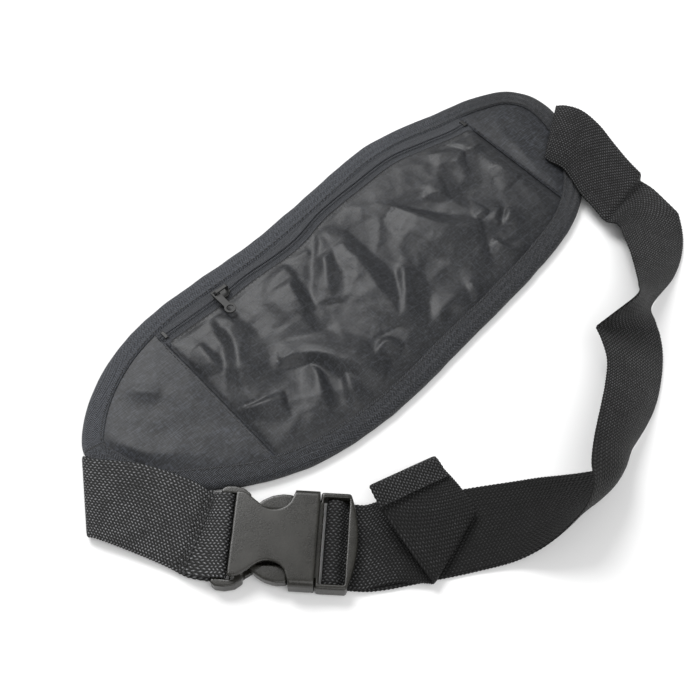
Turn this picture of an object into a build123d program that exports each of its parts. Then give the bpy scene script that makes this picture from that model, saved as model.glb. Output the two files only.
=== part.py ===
from build123d import *
import os
from math import cos, hypot, radians, sin

os.makedirs("parts", exist_ok=True)

# ---------------------------------------------------------------- driving dimensions (mm)
# Frame: origin at the centre of the pouch's back face, X along the zip, Y across towards the
# zip edge, Z out of the front face.  The belt lies buckled and loosely looped on a flat surface.
webbing_width = 39.0
webbing_thickness = 1.4
floor_edge_z = 0.9            # height of a webbing selvage that stands on the surface

edge_height = 4.6             # pouch thickness at its bound edge
binding_width = 10.5
tape_thickness = 0.6          # binding tape
cloth = 0.4                   # one layer of pouch cloth
front_z = 3.6                 # underside of the front panels
pocket_top_z = 8.0            # crown of the pocket panel
pocket_slope = 9.0            # plan width of the pocket's sloping sides

seam_left_x = -94.5
seam_right_x = 114.0
zip_y = 40.0
zip_gap = 0.6                 # half the gap between the two tapes
zip_coil_width = 1.6
zip_coil_top = 5.2
zip_tape_width = 5.2
slider_x = -57.0
slider_length = 8.6
slider_width = 6.6
zip_stop_reach = 33.5         # left stop, from the slider's centre
zip_far_stop_x = 111.0

buckle_origin = (-108.2, -89.6)   # middle of the socket's mouth
buckle_heading = -45.7            # degrees, from the socket towards the plug
buckle_half_width = 22.2
buckle_bottom = 0.4
buckle_top = 11.0
buckle_wall = 1.8
slot_half_width = 19.9
bar_bottom = 3.5
bar_top = 7.0

# ---------------------------------------------------------------- pouch outline
outline_points = [
    (-158, 15), (-150, 27), (-136, 38.5), (-114, 49.5), (-88, 55.2), (-58, 56), (-28, 56),
    (0, 58.5), (28, 62), (56, 65), (78, 63.5), (104, 57.5), (130, 51.5), (148, 43), (156.5, 31),
    (158, 17), (153, -2), (142, -20), (127, -35), (106, -46.5), (78, -53), (44, -57.5),
    (10, -61), (-24, -64.5), (-56, -64.5), (-84, -60), (-107, -50.8), (-126, -38.2),
    (-144, -24), (-154, -7),
]


def outline_face(inset):
    """The pouch outline, moved inwards by inset."""
    count = len(outline_points)
    moved = []
    for i in range(count):
        before = outline_points[i - 1]
        after = outline_points[(i + 1) % count]
        here = outline_points[i]
        run = (after[0] - before[0], after[1] - before[1])
        length = hypot(*run)
        moved.append((here[0] + inset * run[1] / length, here[1] - inset * run[0] / length))
    return make_face(Spline(*moved, periodic=True))


def slab(face, bottom, top):
    """A flat sheet of the given outline between two heights."""
    return extrude(Pos(0, 0, bottom) * face, amount=top - bottom)


def window(x_low, x_high, y_low, y_high):
    """A plan rectangle given by its limits."""
    centre = Pos((x_low + x_high) / 2, (y_low + y_high) / 2, 0)
    return centre * Rectangle(x_high - x_low, y_high - y_low)


def block(x_low, x_high, y_low, y_high, z_low, z_high):
    """A box given by its limits."""
    return slab(window(x_low, x_high, y_low, y_high), z_low, z_high)


def save(shape, node, colour=None):
    """Write one sub-part, named after its node."""
    solids = shape.solids()
    out = solids[0] if len(solids) == 1 else Compound(children=list(solids))
    out.label = node
    export_step(out, f"parts/{node}.step")
    print(f"{node:24s} solids {len(solids):3d}  volume {sum(s.volume for s in solids):9.1f}")


# ---------------------------------------------------------------- pouch cloth and binding
far = 400.0
rim_inset = 1.2
rim = outline_face(rim_inset)
lip_z = tape_thickness
lining_z = 1.0


def make_edge_binding():
    """Twill tape folded round the raw edge: a C section that holds the layers together."""
    whole = slab(outline_face(0), 0, edge_height)
    hollow = slab(outline_face(rim_inset - 0.2), tape_thickness, edge_height - tape_thickness)
    middle = slab(outline_face(binding_width), -1, edge_height + 1)
    return whole - hollow - middle


def make_back_panel():
    inner = slab(outline_face(binding_width + 0.1), 0, lining_z)
    return inner + slab(rim, lip_z, lining_z)


def make_inner_lining():
    return slab(rim, lining_z, lining_z + cloth)


def make_end_panel(x_low, x_high):
    return slab(rim & window(x_low, x_high, -far, far), front_z, front_z + cloth)


def pocket_face(inset):
    """Plan of the raised middle of the pocket panel."""
    box = window(seam_left_x + 3 + inset, seam_right_x - 3 - inset, -far, zip_y - 7.0 - inset)
    return outline_face(binding_width + 2.5 + inset) & box


def make_pocket_front():
    """The ripstop panel: flat where it is sewn, raised over the pocket's cavity."""
    wall = 0.8
    outer = loft([Pos(0, 0, front_z) * pocket_face(0),
                  Pos(0, 0, pocket_top_z) * pocket_face(pocket_slope)], ruled=True)
    inner = loft([Pos(0, 0, front_z) * pocket_face(wall),
                  Pos(0, 0, pocket_top_z - 0.6) * pocket_face(pocket_slope + wall)], ruled=True)
    edge = zip_y - zip_gap - zip_tape_width - 0.1
    flat = rim & window(seam_left_x, seam_right_x, -far, edge)
    return slab(flat, front_z, front_z + cloth) + outer - inner


# ---------------------------------------------------------------- zip
zip_left = slider_x - zip_stop_reach - 2.0
zip_right = zip_far_stop_x + 2.0


def make_zip_tape(side):
    """side +1 is the tape next to the binding, -1 the one sewn to the pocket panel."""
    inner = zip_y + side * zip_gap
    if side > 0:
        strip = rim & window(seam_left_x + 0.1, seam_right_x - 0.1, inner, far)
    else:
        strip = window(seam_left_x + 0.1, seam_right_x - 0.1, inner - zip_tape_width, inner)
    return slab(strip, front_z, front_z + cloth)


def make_zip_coil(side):
    near = zip_y + side * zip_gap
    away = near + side * zip_coil_width
    return block(zip_left + 1.2, zip_right - 1.2, min(near, away), max(near, away),
                 front_z + cloth, zip_coil_top)


def make_zip_stop(x):
    reach = zip_gap + zip_coil_width
    stop = block(x - 1.0, x + 1.0, zip_y - reach, zip_y + reach, front_z + cloth, zip_coil_top + 0.4)
    return fillet(stop.edges().group_by(Axis.Z)[-1], 0.3)


def make_slider_body():
    """Two plates round the coils, joined by the wedge, with the bridge for the pull tab on top."""
    half = slider_width / 2
    nose = slider_length / 2
    plan = [(-nose, -half + 1.0), (-nose + 1.2, -half), (nose - 2.4, -half), (nose, -half + 1.4),
            (nose, half - 1.4), (nose - 2.4, half), (-nose + 1.2, half), (-nose, half - 1.0)]
    plate = make_face(Polyline(*plan, close=True))
    body = slab(plate, 5.5, 6.5)
    body = fillet(body.edges().group_by(Axis.Z)[-1], 0.35)
    body += slab(plate, 2.2, 3.2)
    body += block(0.6, 3.4, -0.3, 0.3, 3.2, 5.5)
    for side in (-1, 1):
        outer = side * half
        inner = side * (half - 0.7)
        body += block(-nose + 1.4, nose - 2.6, min(inner, outer), max(inner, outer), 4.9, 5.5)
    bridge = block(-3.8, 3.8, -0.8, 0.8, 6.4, 10.3) - block(-2.8, 2.8, -2, 2, 6.5, 9.4)
    bridge = fillet(bridge.edges().filter_by(Axis.Y).group_by(Axis.Z)[-1], 0.9)
    return Pos(slider_x, zip_y, 0) * (body + bridge)


tab_pivot = (slider_x - 3.3, zip_y)


def make_pull_tab():
    """A flat tab whose window goes round the bridge's rear leg, with an eye at its free end."""
    length = 13.4
    shank = make_face(Polyline((-1.9, 1.8), (1.9, 1.8), (1.7, -length + 3), (-1.7, -length + 3),
                               close=True))
    eye = Pos(0, -length + 2.2) * Circle(2.9)
    plan = shank + eye - Rectangle(2.2, 2.4) - Pos(0, -length + 2.2) * Circle(1.7)
    tab = slab(plan, 8.3, 9.1)
    return Pos(tab_pivot[0], tab_pivot[1], 0) * tab


# ---------------------------------------------------------------- webbing
def flat_face(corners):
    return Face(Wire.make_polygon(corners, close=True))


def strip(stations, thickness=webbing_thickness):
    """A ruled strip of webbing through pairs of selvage points, mitred where it turns."""
    pairs = [(Vector(*a), Vector(*b)) for a, b in stations]
    middles = [(a + b) * 0.5 for a, b in pairs]
    normals = []
    for i in range(len(pairs) - 1):
        across = (pairs[i][1] - pairs[i][0]).normalized() + (pairs[i + 1][1] - pairs[i + 1][0]).normalized()
        normals.append(across.cross(middles[i + 1] - middles[i]).normalized())
    sections = []
    for i, (low, high) in enumerate(pairs):
        first = normals[max(i - 1, 0)]
        second = normals[min(i, len(normals) - 1)]
        across = (high - low).normalized()
        mean = first + second
        mean = (mean - across * mean.dot(across)).normalized()
        offset = mean * (thickness / 2 / max(mean.dot(first), 0.6))
        sections.append([low - offset, high - offset, high + offset, low + offset])
    faces = [flat_face(sections[0]), flat_face(sections[-1])]
    for near, away in zip(sections[:-1], sections[1:]):
        for k in range(4):
            n = (k + 1) % 4
            a, b = (k, n) if k < 2 else (n, k)      # both broad faces split along one diagonal
            faces.append(flat_face([near[a], near[b], away[b]]))
            faces.append(flat_face([near[a], away[b], away[a]]))
    solid = Solid(Shell(faces))
    return solid if solid.volume > 0 else Solid(Shell([-f for f in faces]))


def buckle_point(along, across, height):
    """A point given along and across the buckle, measured from the socket's mouth."""
    heading = radians(buckle_heading)
    x = buckle_origin[0] + along * cos(heading) - across * sin(heading)
    y = buckle_origin[1] + along * sin(heading) + across * cos(heading)
    return (x, y, height)


def buckle_pair(along, height, first=-1):
    """The two selvage points of webbing that crosses the buckle squarely, one side first."""
    half = first * webbing_width / 2
    return (buckle_point(along, half, height), buckle_point(along, -half, height))


# left end: out from under the pouch, folded over its own diagonal, through the socket's bar and
# back on top of itself, where it is sewn down
left_strap_stations = [
    ((-149, -20.5, 1.9), (-149, 13, 1.9)),
    ((-180, -19, 1.9), (-159, 14, 1.9)),
    ((-180, -19, 4.3), (-159, 14, 5.0)),
    ((-171, -37, 3.6), (-142, -10, 7.0)),
    ((-163, -54, 2.8), (-130, -33, 6.8)),
    ((-159, -64, 2.4), (-127.5, -41.5, 4.8)),
    buckle_pair(-46.0, 2.4),
    buckle_pair(-38.9, 2.4),
    buckle_pair(-38.9, 8.1),
    buckle_pair(-45.5, 8.1),
    ((-160, -61, 5.2), (-126.5, -42.5, 8.2)),
]

# right end to the plug: the lower selvage stands on the surface, the upper one leans in, and the
# strap turns over once at the far bend
main_strap_stations = [
    ((160, 14, 6.2), (127, -7.5, 6.2)),
    ((166.5, -1, 5.0), (128, -15, 7.4)),
    ((167, -16, 4.4), (128, -23, 8.2)),
    ((165, -31, 3.0), (126.5, -32, 8.6)),
    ((160.5, -46, 1.4), (123, -41.5, 8.4)),
    ((157, -61, floor_edge_z), (119.5, -51, 8.0)),
    ((153.5, -75, floor_edge_z), (117, -62, 9.5)),
    ((148, -85, floor_edge_z), (113, -73, 13)),
    ((138, -95, floor_edge_z), (105, -84, 18)),
    ((122, -103, floor_edge_z), (92, -96, 24)),
    ((106, -107, floor_edge_z), (78, -104, 28)),
    ((96, -113, floor_edge_z), (64, -104.5, 24)),
    ((87, -121, floor_edge_z), (55, -109, 19)),
    ((75, -132, floor_edge_z), (44, -118.5, 20)),
    ((58, -143.5, floor_edge_z), (28, -129, 21)),
    ((42, -149, floor_edge_z), (11, -139, 24)),
    ((30, -151, floor_edge_z), (1, -144, 27)),
    ((20, -151, floor_edge_z), (-5, -150, 30.5)),
    ((11, -148.5, floor_edge_z), (-11, -156, 32)),
    ((4, -144.5, floor_edge_z), (-18, -160, 29.5)),
    ((-4, -139, floor_edge_z), (-26, -161, 23.5)),
    ((-13, -132.5, floor_edge_z), (-38, -159, 13.5)),
    ((-23, -126, floor_edge_z), (-49, -154, 4.5)),
    ((-40, -115, floor_edge_z), (-64, -145.5, floor_edge_z)),
    ((-58, -104.5, floor_edge_z), (-83, -134.5, floor_edge_z)),
    buckle_pair(24.2, floor_edge_z, 1),
]

# the same webbing threaded round the plug's bar, then its free end, folded aside and hemmed
strap_tail_stations = [
    buckle_pair(23.6, floor_edge_z, 1),
    buckle_pair(3.6, floor_edge_z, 1),
    buckle_pair(3.6, 6.6, 1),
    buckle_pair(9.4, 6.6, 1),
    buckle_pair(9.4, 2.8, 1),
    buckle_pair(19.0, 2.8, 1),
    ((-69, -94, 2.8), (-98.5, -119.5, 2.8)),
    ((-47, -125, 2.8), (-87.5, -139.5, 2.8)),
    ((-47, -125, 4.8), (-87.5, -139.5, 5.2)),
    ((-44.5, -114, 5.4), (-82, -121, 8.0)),
    ((-42, -94.5, 9.0), (-78, -91, 15.0)),
    ((-42, -94.5, 11.2), (-78, -91, 17.2)),
    ((-44.5, -106, 8.4), (-80, -102, 14.6)),
]


def make_left_strap():
    solid = strip(left_strap_stations)
    return solid - slab(outline_face(-0.05), -1, edge_height)


def make_thread_row(start, end, pitch, length, width, bottom, top):
    """A line of thread stitches between two plan points."""
    run = Vector(end[0] - start[0], end[1] - start[1], 0)
    count = max(int(run.length / pitch), 1)
    angle = Vector(1, 0, 0).get_signed_angle(run, Vector(0, 0, 1))
    row = []
    for i in range(count):
        centre = Vector(start[0], start[1], 0) + run * ((i + 0.5) / count)
        stitch = Box(length, width, top - bottom)
        row.append(Pos(centre.X, centre.Y, (bottom + top) / 2) * Rot(0, 0, angle) * stitch)
    return row


def make_panel_stitching():
    """Topstitching beside the two seams that close the pocket panel's ends."""
    top = front_z + cloth
    rows = make_thread_row((seam_left_x - 1.6, 36), (seam_left_x - 1.6, -44), 3.2, 2.3, 0.5,
                           top, top + 0.25)
    rows += make_thread_row((seam_right_x + 1.6, 36), (seam_right_x + 1.6, -30), 3.2, 2.3, 0.5,
                            top, top + 0.25)
    return Compound(children=rows)


# ---------------------------------------------------------------- buckle
def place_buckle(shape):
    return Pos(buckle_origin[0], buckle_origin[1], 0) * Rot(0, 0, buckle_heading) * shape


def socket_plate():
    """Plan of one face of the socket, scalloped on both sides where the prongs are squeezed."""
    side = []
    for sign in (1, -1):
        side.append(Line((-11, sign * 20.5), (-12.9, sign * 15.4)))
        side.append(ThreePointArc((-12.9, sign * 15.4), (-19.2, sign * 11.8), (-26.0, sign * 14.2)))
        side.append(Line((-26.0, sign * 14.2), (-31.6, sign * 18.4)))
        side.append(ThreePointArc((-31.6, sign * 18.4), (-34.2, sign * 19.4), (-36.8, sign * 19.0)))
    ends = [Line((-36.8, 19.0), (-36.8, -19.0)), Line((-11, 20.5), (-11, -20.5))]
    return make_face(Wire([e for c in side + ends for e in c.edges()]))


def make_buckle_socket():
    depth = 11.0
    mouth = block(-depth, 0, -buckle_half_width, buckle_half_width, buckle_bottom, buckle_top)
    mouth = fillet(mouth.edges().filter_by(Axis.X), 2.8)
    plate = socket_plate()
    shell = mouth + slab(plate, buckle_top - buckle_wall, buckle_top)
    shell += slab(plate, buckle_bottom, buckle_bottom + buckle_wall)
    shell -= block(-30.5, 1, -19.4, 19.4, buckle_bottom + buckle_wall, buckle_top - buckle_wall)
    shell += block(-34.0, -30.5, -17.0, 17.0, buckle_bottom + 0.5, buckle_top - 0.5)
    for sign in (-1, 1):
        arm = [(-43.8, slot_half_width), (-43.8, 21.6), (-42.0, 23.0), (-38.0, 23.3), (-33.6, 22.3),
               (-30.6, 19.8), (-30.6, 15.0), (-33.6, 15.0), (-34.2, slot_half_width)]
        plan = make_face(Polyline(*[(x, sign * y) for x, y in arm], close=True))
        shell += slab(plan, 1.0, 7.4)
    shell += block(-43.6, -40.1, -slot_half_width - 0.5, slot_half_width + 0.5, bar_bottom, bar_top)
    top_edges = shell.faces().sort_by(Axis.Z)[-1].outer_wire().edges()
    try:
        shell = fillet(top_edges, 0.7)
    except ValueError:
        print("socket rim left sharp")
    return place_buckle(shell)


def make_buckle_plug():
    """Ladder frame with the webbing bar, and the guide tongue between the prongs."""
    outer_edge = [Line((0.3, -buckle_half_width), (13.5, -buckle_half_width)),
                  ThreePointArc((13.5, -buckle_half_width), (17.6, 0), (13.5, buckle_half_width)),
                  Line((13.5, buckle_half_width), (0.3, buckle_half_width)),
                  Line((0.3, buckle_half_width), (0.3, -buckle_half_width))]
    plan = make_face(Wire([e for c in outer_edge for e in c.edges()]))
    frame = slab(plan, 1.0, 8.4)
    frame = fillet(frame.edges().filter_by(Axis.Z), 1.2)
    frame = fillet(frame.edges().group_by(Axis.Z)[-1], 0.8)
    frame -= block(1.8, 13.0, -slot_half_width, slot_half_width, 0, 10)
    frame -= block(12.0, 20.0, -slot_half_width, slot_half_width, 0, 4.2)
    frame -= block(0, 2.5, -slot_half_width, slot_half_width, 0, 2.6)
    bar = block(5.6, 7.9, -slot_half_width - 0.5, slot_half_width + 0.5, 3.2, 5.6)
    bar = fillet(bar.edges().filter_by(Axis.Y), 0.5)
    base = block(-1.0, 0.6, -17.4, 17.4, 2.8, 8.4)
    tongue = block(-24.0, 0.0, -2.6, 2.6, 3.2, 8.0)
    tongue = fillet(tongue.edges().filter_by(Axis.Z).group_by(Axis.X)[0], 1.8)
    return place_buckle(frame + bar + base + tongue)


prong_root = (-3.2, 15.0)
prong_root_radius = 1.9


def make_prong(sign):
    """One spring arm: a root disc, a slim arm and the barbed pad that the finger squeezes."""
    path = [(-3.2, 13.1), (-12, 12.9), (-20, 12.6), (-26.5, 13.2), (-28.2, 14.2), (-25, 17.2),
            (-21, 19.4), (-16.5, 20.4), (-12.6, 20.2), (-11.5, 19.6), (-11.5, 16.7), (-8, 16.4),
            (-3.2, 16.9)]
    plan = make_face(Polyline(*[(x, sign * y) for x, y in path], close=True))
    plan += Pos(prong_root[0], sign * prong_root[1]) * Circle(prong_root_radius)
    prong = slab(plan, 3.0, 8.2)
    pad = prong.edges().group_by(Axis.Z)[-1]
    try:
        prong = fillet(pad, 0.5)
    except ValueError:
        print("prong left sharp")
    return place_buckle(prong)


def make_left_bar_tack():
    """Two rows of heavy thread that hold the looped webbing end down."""
    low, high = left_strap_stations[-1]
    near_low, near_high = left_strap_stations[-2]
    rows = []
    for share in (0.12, 0.55):
        a = Vector(*low) * (1 - share) + Vector(*near_low) * share
        b = Vector(*high) * (1 - share) + Vector(*near_high) * share
        for i in range(11):
            t = (i + 0.7) / 12
            p = a * (1 - t) + b * t
            rows.append(Pos(p.X, p.Y, p.Z + 1.15) * Rot(0, 0, 30) * Box(2.2, 0.6, 0.3))
    return Compound(children=rows)


def make_right_bar_tack():
    """The row of heavy thread along the strap end that is sewn to the pouch."""
    low, high = main_strap_stations[0]
    next_low, next_high = main_strap_stations[1]
    rows = []
    for i in range(11):
        t = (i + 0.7) / 12
        a = Vector(*low) * (1 - t) + Vector(*high) * t
        b = Vector(*next_low) * (1 - t) + Vector(*next_high) * t
        p = a * 0.75 + b * 0.25
        rows.append(Pos(p.X, p.Y, p.Z + 1.6) * Rot(0, 0, 33) * Box(2.2, 0.6, 0.3))
    return Compound(children=rows)


# ---------------------------------------------------------------- write every sub-part
save(make_back_panel(), "back_panel")
save(make_inner_lining(), "inner_lining")
save(make_pocket_front(), "pocket_front")
save(make_end_panel(-far, seam_left_x - 0.1), "left_end_panel")
save(make_end_panel(seam_right_x + 0.1, far), "right_end_panel")
save(make_edge_binding(), "edge_binding")
save(make_zip_tape(1), "zip_tape_upper")
save(make_zip_tape(-1), "zip_tape_lower")
save(make_zip_coil(1), "zip_coil_upper")
save(make_zip_coil(-1), "zip_coil_lower")
save(make_zip_stop(zip_left), "zip_stop_left")
save(make_zip_stop(zip_right), "zip_stop_right")
save(make_slider_body(), "zip_slider")
save(make_pull_tab(), "zip_pull_tab")
save(make_panel_stitching(), "panel_stitching")
save(make_left_strap(), "left_strap")
save(make_left_bar_tack(), "left_bar_tack")
save(strip(main_strap_stations), "main_strap")
save(make_right_bar_tack(), "right_bar_tack")
save(strip(strap_tail_stations), "strap_tail")
save(make_buckle_socket(), "buckle_socket")
save(make_buckle_plug(), "buckle_plug")
save(make_prong(1), "prong_upper")
save(make_prong(-1), "prong_lower")
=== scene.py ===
import bpy
import math
import numpy as np
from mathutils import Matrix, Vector, noise


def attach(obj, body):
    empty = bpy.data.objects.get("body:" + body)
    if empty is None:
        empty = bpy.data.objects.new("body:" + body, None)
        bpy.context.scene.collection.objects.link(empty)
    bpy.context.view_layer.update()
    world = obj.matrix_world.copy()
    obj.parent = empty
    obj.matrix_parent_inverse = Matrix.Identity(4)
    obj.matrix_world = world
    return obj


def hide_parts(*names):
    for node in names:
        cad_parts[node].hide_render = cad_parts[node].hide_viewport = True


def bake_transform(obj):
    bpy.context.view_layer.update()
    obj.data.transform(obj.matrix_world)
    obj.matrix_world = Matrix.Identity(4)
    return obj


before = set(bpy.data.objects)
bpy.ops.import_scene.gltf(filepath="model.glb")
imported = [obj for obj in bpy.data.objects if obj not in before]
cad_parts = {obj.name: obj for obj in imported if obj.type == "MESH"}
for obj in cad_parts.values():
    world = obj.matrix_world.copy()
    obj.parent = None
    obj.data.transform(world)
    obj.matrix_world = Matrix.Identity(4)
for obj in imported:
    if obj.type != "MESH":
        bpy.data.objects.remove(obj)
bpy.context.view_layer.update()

# Everything below is written in millimetres and goes into Blender in metres.
MM = 0.001

WEBBING = 39.0            # over the selvages
WEBBING_THICK = 1.4
WEAVE_PITCH = 1.75        # one yarn float of the webbing to the next
STRAP_PITCH = 0.5         # between two rows of a strap's points

RIM_PITCH = 1.4           # between two points of the pouch's outline
BINDING_WIDTH = 10.5      # what shows on the front
SEWN_RIM = 9.8            # inside the outline, the front cloth comes free of its seam here
SEWN_HEIGHT = 4.05        # of the front cloth where it is sewn down
SWELL_REACH = 5.0         # how far from a seam the cloth has mostly risen
CLOTH_THICK = 0.3
FOLD_GAIN = 1.4           # of the heights in the list of folds
SEAM_LEFT = -94.5         # x of the two panel seams
SEAM_RIGHT = 114.0

SLIDER_X = -57.0
ZIP_START = -92.5
ZIP_END = 113.0
TOOTH_PITCH = 1.25
COIL_HEIGHT = 3.9         # of the coil's middle
TAPE_HEIGHT = 4.6         # of the tape's flat part
POCKET_EDGE = 4.6         # below the zip's middle line, the folded edge of the pocket
POCKET_SEAM = 5.4         # below the same line, the pocket is sewn to the tape
ZIP_STITCH = 5.5          # below the same line, the row of stitches
LAP_RISE = 0.95           # of the folded edge over the tape
TAB_REACH = 24.0          # lowest y that the pull tab passes over
TAB_CEILING = 7.9         # no cloth above this within the tab's reach
FREE_CEILING = 3.5        # how much higher the cloth may go elsewhere

BUCKLE = np.array([-108.2, -89.6])        # middle of the socket's mouth
BUCKLE_HEADING = math.radians(-45.7)      # from the socket to the plug

# The floor, the camera and the lights are placed in metres.
FLOOR_HALF = 9.0
SENSOR = 36.0             # width of the camera's sensor, millimetres
FIELD_OF_VIEW = math.radians(35)
CAMERA_PLACE = Vector((-0.2217, -0.2353, 0.4566))
CAMERA_TARGET = Vector((-0.0297, -0.0243, 0))
RIGHT = np.array([0.740, -0.673, 0.0])    # of the camera, on the floor
FAR = np.array([0.673, 0.740, 0.0])       # away from the camera, on the floor
UP = np.array([0.0, 0.0, 1.0])


# ================================================================ materials
class Material:
    """A node material, with a short way to write sums in it."""

    def __init__(self, name):
        self.mat = bpy.data.materials.new(name)
        self.mat.use_nodes = True
        self.tree = self.mat.node_tree
        self.shader = self.tree.nodes["Principled BSDF"]

    def node(self, kind):
        return self.tree.nodes.new(kind)

    def plug(self, value, socket):
        if hasattr(value, "is_output"):
            self.tree.links.new(value, socket)
        else:
            socket.default_value = value

    def sum(self, operation, *values):
        n = self.node("ShaderNodeMath")
        n.operation = operation
        for value, socket in zip(values, n.inputs):
            self.plug(value, socket)
        return n.outputs[0]

    def scaled(self, value, gain, offset):
        """The value times gain, plus offset."""
        return self.sum("ADD", self.sum("MULTIPLY", value, gain), offset)

    def weigh(self, first, share, second, other_share):
        """The sum of two values, each times its share."""
        other = self.sum("MULTIPLY", second, other_share)
        return self.sum("ADD", self.sum("MULTIPLY", first, share), other)

    def zigzag(self, value, pitch):
        """From 0.5 down to 0 and up again over each pitch."""
        share = self.sum("FRACT", self.sum("DIVIDE", value, pitch))
        return self.sum("ABSOLUTE", self.sum("SUBTRACT", share, 0.5))

    def uv(self):
        """Along and across the cloth, in millimetres."""
        n = self.node("ShaderNodeUVMap")
        n.uv_map = "cloth"
        split = self.node("ShaderNodeSeparateXYZ")
        self.tree.links.new(n.outputs[0], split.inputs[0])
        return [self.sum("MULTIPLY", split.outputs[k], 1000.0) for k in range(2)]

    def noise(self, size, detail=2.0, roughness=0.5, stretch=(1, 1, 1)):
        """Noise whose blotches are about size millimetres."""
        place = self.node("ShaderNodeTexCoord")
        scale = self.node("ShaderNodeMapping")
        scale.inputs["Scale"].default_value = stretch
        n = self.node("ShaderNodeTexNoise")
        n.inputs["Scale"].default_value = 1000.0 / size
        n.inputs["Detail"].default_value = detail
        n.inputs["Roughness"].default_value = roughness
        self.tree.links.new(place.outputs["Object"], scale.inputs["Vector"])
        self.tree.links.new(scale.outputs["Vector"], n.inputs["Vector"])
        return n.outputs["Fac"]

    def weave(self, detail, roughness, along, across, weft_share):
        """Fine streaks both ways, as of weft and warp threads, from noise stretched along and across."""
        size = 0.8
        weft = self.noise(size, detail, roughness, (along, across, 1))
        warp = self.noise(size, detail, roughness, (across, along, 1))
        return self.weigh(weft, weft_share, warp, 1 - weft_share)

    def ramp(self, value, stops):
        n = self.node("ShaderNodeValToRGB")
        self.plug(value, n.inputs[0])
        while len(n.color_ramp.elements) < len(stops):
            n.color_ramp.elements.new(0.5)
        for element, (place, colour) in zip(n.color_ramp.elements, stops):
            element.position = place
            element.color = (*colour, 1)
        return n.outputs[0]

    def fade(self, along, wear_and_painted_light):
        """Painted light and shade: how bright the yarns are painted at lengths along the cloth."""
        longest = wear_and_painted_light[-1][0]
        stops = [(length / longest, grey(bright)) for length, bright in wear_and_painted_light]
        return self.ramp(self.sum("DIVIDE", along, longest), stops)

    def bump(self, height, millimetres, after=None):
        n = self.node("ShaderNodeBump")
        n.inputs["Strength"].default_value = 1.0
        n.inputs["Distance"].default_value = millimetres * MM
        self.plug(height, n.inputs["Height"])
        if after is not None:
            self.tree.links.new(after, n.inputs["Normal"])
        return n.outputs[0]

    def finish(self, **inputs):
        for name, value in inputs.items():
            self.plug(value, self.shader.inputs[name.replace("_", " ")])
        return self.mat


def grey(value, blue=0.0):
    return (value, value * (1 + blue * 0.3), value * (1 + blue))


def woven_dots(m, along, across, pitch, rib, slant):
    """Height of the yarn floats of webbing: staggered grains in ribs that run along it."""
    column = m.sum("DIVIDE", across, rib)
    odd = m.sum("MODULO", m.sum("FLOOR", column), 2.0)
    side = m.scaled(odd, 2.0, -1.0)
    offset = m.sum("SUBTRACT", m.sum("FRACT", column), 0.5)
    phase = m.sum("DIVIDE", along, pitch)
    phase = m.sum("ADD", phase, m.sum("MULTIPLY", odd, 0.5))
    phase = m.sum("ADD", phase, m.sum("MULTIPLY", m.sum("MULTIPLY", offset, side), slant))
    grain = m.sum("COSINE", m.sum("MULTIPLY", phase, 2 * math.pi))
    grain = m.scaled(grain, 0.5, 0.5)
    round_off = m.sum("COSINE", m.sum("MULTIPLY", offset, math.pi))
    return m.sum("MULTIPLY", m.sum("POWER", grain, 0.8), round_off)


def webbing_material(name, gain, painted_highlight, gloss, wear_and_painted_light=None):
    """Heavy black webbing: gain for its dark yarns, a painted highlight on the tops of the yarn floats,
    gloss for the surface, and painted light and shade along the length when a list of it is given.
    """
    m = Material(name)
    along, across = m.uv()
    height = woven_dots(m, along, across, pitch=WEAVE_PITCH, rib=1.3, slant=0.42)
    blotch = m.noise(9.0, detail=3.0)
    fleck = m.noise(0.8, detail=1.0)
    tone = m.sum("MULTIPLY", height, m.scaled(fleck, 1.5, 0.25))
    tone = m.sum("MULTIPLY", tone, m.scaled(blotch, 0.7, 0.65))
    # painted light and shade along the strap's length, where a list of it is given
    if wear_and_painted_light is not None:
        tone = m.sum("MULTIPLY", tone, m.fade(along, wear_and_painted_light))
    # the two brightest stops are a painted highlight on the tops of the yarn floats
    colour = m.ramp(tone, [(0.15, grey(0.006 * gain)), (0.45, grey(0.018 * gain)),
                           (0.75, grey(0.06 * painted_highlight, 0.05)), (1.0, grey(0.14 * painted_highlight, 0.05))])
    return m.finish(Base_Color=colour, Roughness=0.6, Normal=m.bump(height, 0.5),
                    Specular_IOR_Level=gloss, Sheen_Weight=0.03, Sheen_Roughness=0.4)


def binding_material():
    """Twill tape: slanted lines that zigzag, with painted shade round the right end and along the lower
    edge.
    """
    m = Material("binding_tape")
    along, across = m.uv()
    twill = m.weigh(along, 1.0, m.zigzag(across, 3.4), 5.0)
    line = m.scaled(m.sum("SINE", m.sum("MULTIPLY", twill, 2 * math.pi / 1.2)), 0.5, 0.5)
    height = m.weigh(line, 1.0, m.noise(1.2, detail=1.0), 0.8)
    # painted shade: the tape is darker round the right end and along the lower edge
    wear_and_painted_light = m.fade(along, [(0, 1.0), (238, 1.0), (323, 0.72), (680, 0.80), (850, 1.0)])
    tone = m.sum("MULTIPLY", m.sum("MULTIPLY", height, 0.6), wear_and_painted_light)
    colour = m.ramp(tone, [(0.25, grey(0.003, 0.12)), (0.5, grey(0.019, 0.22)), (0.8, grey(0.13, 0.25))])
    return m.finish(Base_Color=colour, Roughness=0.7, Normal=m.bump(height, 0.45),
                    Specular_IOR_Level=0.3, Sheen_Weight=0.10, Sheen_Roughness=0.45)


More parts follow.
